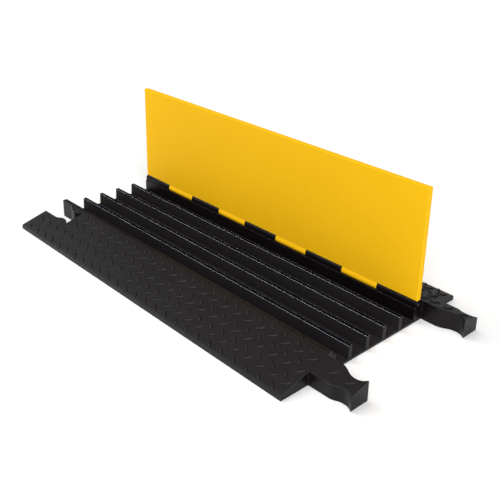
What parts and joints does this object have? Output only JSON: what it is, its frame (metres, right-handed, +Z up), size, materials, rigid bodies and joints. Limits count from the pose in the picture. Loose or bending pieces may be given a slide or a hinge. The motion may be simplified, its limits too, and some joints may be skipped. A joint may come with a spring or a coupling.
{
  "type": "cable protector ramp",
  "caption": "Cable protector ramp: parallel cable channels between sloped sides, interlocking connectors and sockets at its ends, and a hinged lid standing open.",
  "frame": {"origin": "on the floor, in the middle of the overall length and width, with the lid standing open", "axes": "+X along the cable channels towards the connectors, +Y across the ramp towards the hinge side, +Z up"},
  "size_m": [1.0124, 0.52, 0.2933],
  "materials": {
    "base_rubber": "satin",
    "lid_rubber": "satin",
    "rod_fibreglass": "matte"
  },
  "bodies": {
    "base": {"front_ramp": "base_rubber", "rear_ramp": "base_rubber", "front_wall": "base_rubber", "hinge_wall": "base_rubber", "channel_floor": "base_rubber", "divider_rib_1": "base_rubber", "divider_rib_2": "base_rubber", "divider_rib_3": "base_rubber", "divider_rib_4": "base_rubber", "base_knuckle_1": "base_rubber", "base_knuckle_2": "base_rubber", "base_knuckle_3": "base_rubber", "base_knuckle_4": "base_rubber", "base_knuckle_5": "base_rubber", "front_connector": "base_rubber", "rear_connector": "base_rubber", "hinge_rod": "rod_fibreglass"},
    "lid": {"lid_panel": "lid_rubber", "lid_tab_1": "lid_rubber", "lid_tab_2": "lid_rubber", "lid_tab_3": "lid_rubber", "lid_tab_4": "lid_rubber"}
  },
  "joints": [
    {"name": "lid_hinge", "type": "hinge", "parent": "base", "child": "lid", "pos_m": [-0.049, 0.1295, 0.0385], "axis": [1, 0, 0], "range_deg": [0, 90]}
  ]
}
